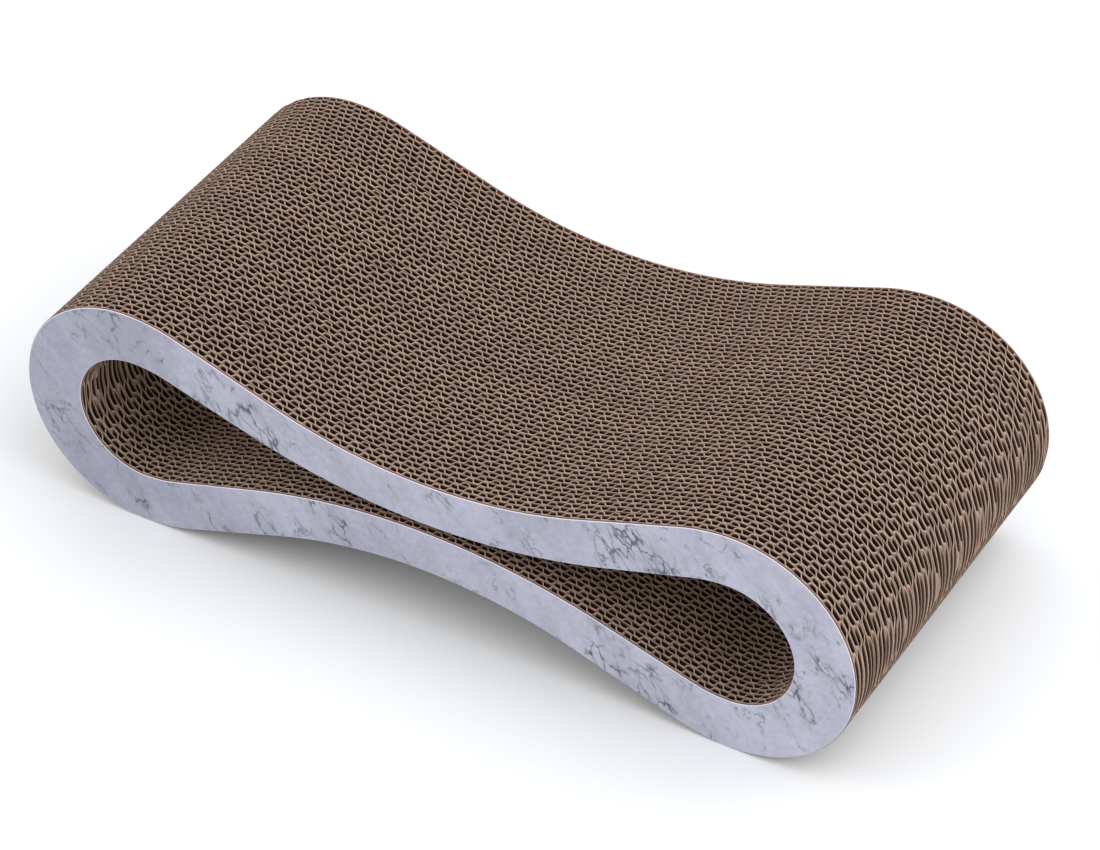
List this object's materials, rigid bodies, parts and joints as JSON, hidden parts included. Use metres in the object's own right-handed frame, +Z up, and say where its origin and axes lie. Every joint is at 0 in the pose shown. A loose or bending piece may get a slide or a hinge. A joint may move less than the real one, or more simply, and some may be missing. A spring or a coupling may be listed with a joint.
{
  "type": "cardboard cat scratcher",
  "caption": "Waisted lounger block of die-cut corrugated cardboard sheets glued side by side, with a teardrop hole under each raised end and a marble-print cover on each flat side.",
  "frame": {"origin": "centre of the block's footprint, on the surface that the two lobes stand on", "axes": "+X along the length, +Y along the stack of sheets from the front cover to the rear cover, +Z up"},
  "size_m": [0.45, 0.2004, 0.126],
  "materials": {
    "corrugated_board": "brown kraft corrugated board with raw cut edges, matte, open flutes running from top to bottom",
    "printed_cover": "white card printed with a pale lavender-grey marble pattern, satin"
  },
  "bodies": {
    "root": {"front_cover": "printed_cover", "sheet_01": "corrugated_board", "sheet_02": "corrugated_board", "sheet_03": "corrugated_board", "sheet_04": "corrugated_board", "sheet_05": "corrugated_board", "sheet_06": "corrugated_board", "sheet_07": "corrugated_board", "sheet_08": "corrugated_board", "sheet_09": "corrugated_board", "sheet_10": "corrugated_board", "sheet_11": "corrugated_board", "sheet_12": "corrugated_board", "sheet_13": "corrugated_board", "sheet_14": "corrugated_board", "sheet_15": "corrugated_board", "sheet_16": "corrugated_board", "sheet_17": "corrugated_board", "sheet_18": "corrugated_board", "sheet_19": "corrugated_board", "sheet_20": "corrugated_board", "sheet_21": "corrugated_board", "sheet_22": "corrugated_board", "sheet_23": "corrugated_board", "sheet_24": "corrugated_board", "sheet_25": "corrugated_board", "sheet_26": "corrugated_board", "sheet_27": "corrugated_board", "sheet_28": "corrugated_board", "sheet_29": "corrugated_board", "sheet_30": "corrugated_board", "sheet_31": "corrugated_board", "sheet_32": "corrugated_board", "sheet_33": "corrugated_board", "sheet_34": "corrugated_board", "sheet_35": "corrugated_board", "sheet_36": "corrugated_board", "sheet_37": "corrugated_board", "sheet_38": "corrugated_board", "sheet_39": "corrugated_board", "sheet_40": "corrugated_board", "sheet_41": "corrugated_board", "sheet_42": "corrugated_board", "sheet_43": "corrugated_board", "sheet_44": "corrugated_board", "sheet_45": "corrugated_board", "sheet_46": "corrugated_board", "sheet_47": "corrugated_board", "sheet_48": "corrugated_board", "sheet_49": "corrugated_board", "sheet_50": "corrugated_board", "sheet_51": "corrugated_board", "sheet_52": "corrugated_board", "sheet_53": "corrugated_board", "sheet_54": "corrugated_board", "sheet_55": "corrugated_board", "sheet_56": "corrugated_board", "rear_cover": "printed_cover"}
  },
  "joints": []
}
